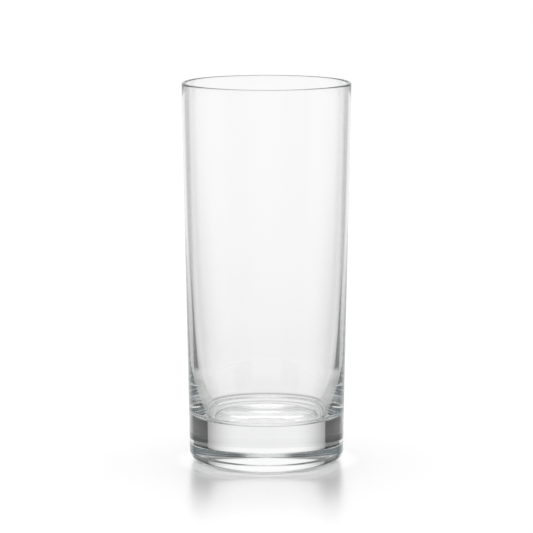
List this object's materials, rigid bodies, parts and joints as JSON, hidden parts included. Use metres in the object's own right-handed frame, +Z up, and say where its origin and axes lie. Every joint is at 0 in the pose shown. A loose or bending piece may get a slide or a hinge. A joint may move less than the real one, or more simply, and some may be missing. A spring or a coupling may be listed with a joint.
{
  "type": "highball glass",
  "caption": "Tall clear highball glass: slightly tapered straight side, thin rounded lip, thick solid base with a rounded heel and a shallow, flat-roofed hollow under it.",
  "frame": {"origin": "centre of the flat ring under the base, on the surface that the glass stands on", "axes": "+Z up along the glass's axis, towards the open mouth; the glass is round, so +X and +Y are alike"},
  "size_m": [0.066, 0.066, 0.149],
  "materials": {
    "clear_glass": "fire-polished clear soda-lime glass"
  },
  "bodies": {
    "root": {"tumbler": "clear_glass"}
  },
  "joints": []
}
